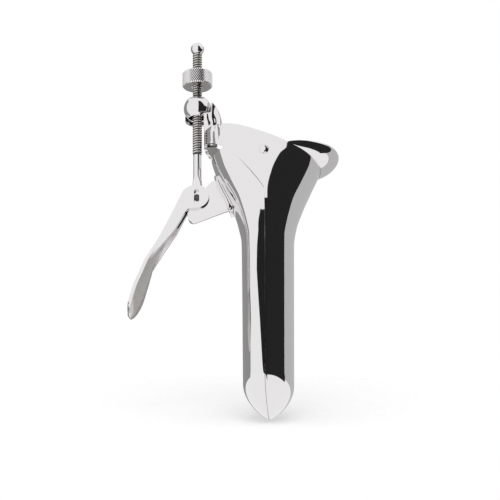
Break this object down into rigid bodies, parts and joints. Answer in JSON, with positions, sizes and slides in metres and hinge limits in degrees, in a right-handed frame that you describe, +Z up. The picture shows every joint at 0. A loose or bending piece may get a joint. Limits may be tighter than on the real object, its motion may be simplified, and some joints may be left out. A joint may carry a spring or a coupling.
{
  "type": "bivalve speculum",
  "caption": "Bivalve speculum: two hinged duck-bill blades with a flared mouth, a side lever, and a set screw with a ball seat and a knurled nut.",
  "frame": {"origin": "middle of the pivot axis, in the centre of the mouth", "axes": "+Z up out of the mouth, the blades point down; +Y along the pivot axis from the near rivet to the far one; +X towards the fixed blade and its lip, the lever and the screw are on the -X side"},
  "size_m": [0.0852, 0.0382, 0.1662],
  "materials": {
    "polished_steel": "mirror polished stainless steel",
    "threaded_steel": "turned and threaded stainless steel",
    "knurled_steel": "diamond knurled stainless steel"
  },
  "bodies": {
    "fixed": {"fixed_valve": "polished_steel", "pivot_rivet_near": "polished_steel", "pivot_rivet_far": "polished_steel", "seat_arm": "polished_steel", "seat_ring": "polished_steel"},
    "moving": {"moving_valve": "polished_steel", "lever_bracket": "polished_steel", "handle_lever": "polished_steel"},
    "ball": {"swivel_ball": "polished_steel"},
    "screw": {"screw_rod": "threaded_steel", "rod_pin": "polished_steel", "stop_ball": "polished_steel"},
    "nut": {"knurled_nut": "knurled_steel"}
  },
  "joints": [
    {"name": "blade_hinge", "type": "hinge", "parent": "fixed", "child": "moving", "pos_m": [0, 0, 0], "axis": [0, 1, 0], "range_deg": [0, 30]},
    {"name": "ball_swivel", "type": "hinge", "parent": "fixed", "child": "ball", "pos_m": [-0.0288, 0, 0.0272], "axis": [0, 1, 0], "range_deg": [0, 6.1]},
    {"name": "screw_pivot", "type": "hinge", "parent": "moving", "child": "screw", "pos_m": [-0.0288, 0, -0.0125], "axis": [0, 1, 0], "range_deg": [-24.1, 0]},
    {"name": "nut_travel", "type": "slide", "parent": "screw", "child": "nut", "axis": [0, 0, 1], "range_m": [-0.02, 0]}
  ],
  "couplings": [
    {"joint": "ball_swivel", "follows": "blade_hinge", "ratio": 0.2},
    {"joint": "screw_pivot", "follows": "blade_hinge", "ratio": -0.8},
    {"joint": "nut_travel", "follows": "blade_hinge", "m_per_rad": -0.0375}
  ]
}
